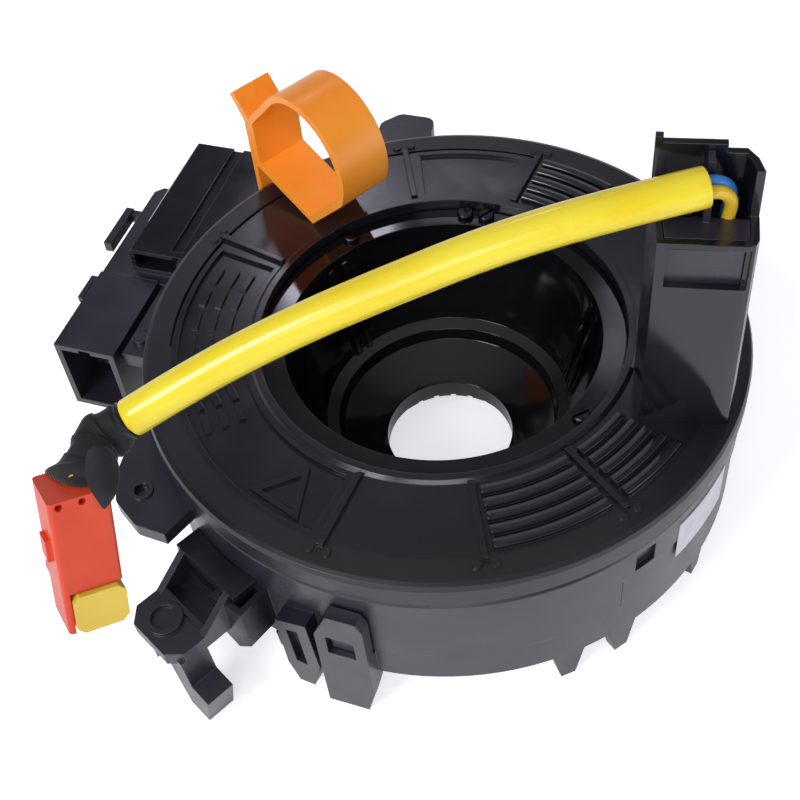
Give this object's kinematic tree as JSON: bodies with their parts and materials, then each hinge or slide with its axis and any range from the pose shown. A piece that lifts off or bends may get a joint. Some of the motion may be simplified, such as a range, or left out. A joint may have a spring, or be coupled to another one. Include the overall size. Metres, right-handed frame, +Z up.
{
  "type": "steering clock spring",
  "caption": "Rotary coil connector for a steering column: fixed ring case with harness connector, turning disc with hub cup and switch tower, airbag lead with plug, and pull-off lock ring",
  "frame": {"origin": "on the steering column's axis, in the plane of the case's bottom face, inside the hub's shaft bore", "axes": "+Z up the column towards the steering wheel, +Y along the long side of the harness connector, the connector on the -X side"},
  "size_m": [0.1269, 0.133, 0.0864],
  "materials": {
    "lower_case": "moulded black plastic, satin",
    "upper_case": "moulded black plastic, semi-gloss",
    "connector_body": "moulded black plastic, semi-gloss",
    "harness_terminals": "tin-plated brass blades",
    "terminal_cover": "moulded black plastic, gloss",
    "flat_cable": "laminated flat ribbon cable",
    "stator_lead_block": "moulded black plastic",
    "rotor_lead_block": "moulded black plastic",
    "blank_label": "blank white paper label",
    "rotor_disc": "moulded black plastic, gloss",
    "hub_cup": "moulded black plastic, high gloss",
    "hub_screws": "black-plated steel screws",
    "cancel_cam": "moulded black plastic",
    "tower_housing": "moulded black plastic, gloss",
    "switch_connector": "moulded black plastic",
    "switch_terminals": "tin-plated brass blades",
    "lock_ring": "moulded orange plastic, semi-gloss",
    "yellow_wire": "insulated wire, yellow",
    "blue_wire": "insulated wire, blue",
    "yellow_sleeve": "soft yellow vinyl sleeve",
    "tape_wrap": "black cloth tape",
    "plug_housing": "moulded red-orange plastic",
    "plug_contacts": "plated contacts",
    "plug_lock": "moulded yellow plastic"
  },
  "bodies": {
    "stator": {"lower_case": "lower_case", "upper_case": "upper_case", "connector_body": "connector_body", "harness_terminals": "harness_terminals", "terminal_cover": "terminal_cover", "flat_cable": "flat_cable", "stator_lead_block": "stator_lead_block", "blank_label": "blank_label"},
    "rotor": {"rotor_disc": "rotor_disc", "hub_cup": "hub_cup", "hub_screws": "hub_screws", "cancel_cam": "cancel_cam", "tower_housing": "tower_housing", "switch_connector": "switch_connector", "switch_terminals": "switch_terminals", "rotor_lead_block": "rotor_lead_block", "yellow_wire": "yellow_wire", "blue_wire": "blue_wire", "yellow_sleeve": "yellow_sleeve", "tape_wrap": "tape_wrap", "plug_housing": "plug_housing", "plug_contacts": "plug_contacts"},
    "lock_ring": {"lock_ring": "lock_ring"},
    "plug_lock": {"plug_lock": "plug_lock"}
  },
  "joints": [
    {"name": "rotor_spin", "type": "hinge", "parent": "stator", "child": "rotor", "pos_m": [0, 0, 0], "axis": [0, 0, 1], "range_deg": [-900, 900]},
    {"name": "lock_pull", "type": "slide", "parent": "rotor", "child": "lock_ring", "axis": [0, 0, 1], "range_m": [0, 0.03]},
    {"name": "plug_lock_press", "type": "slide", "parent": "rotor", "child": "plug_lock", "axis": [-0.7362, 0.6231, -0.2641], "range_m": [0, 0.0015]}
  ]
}
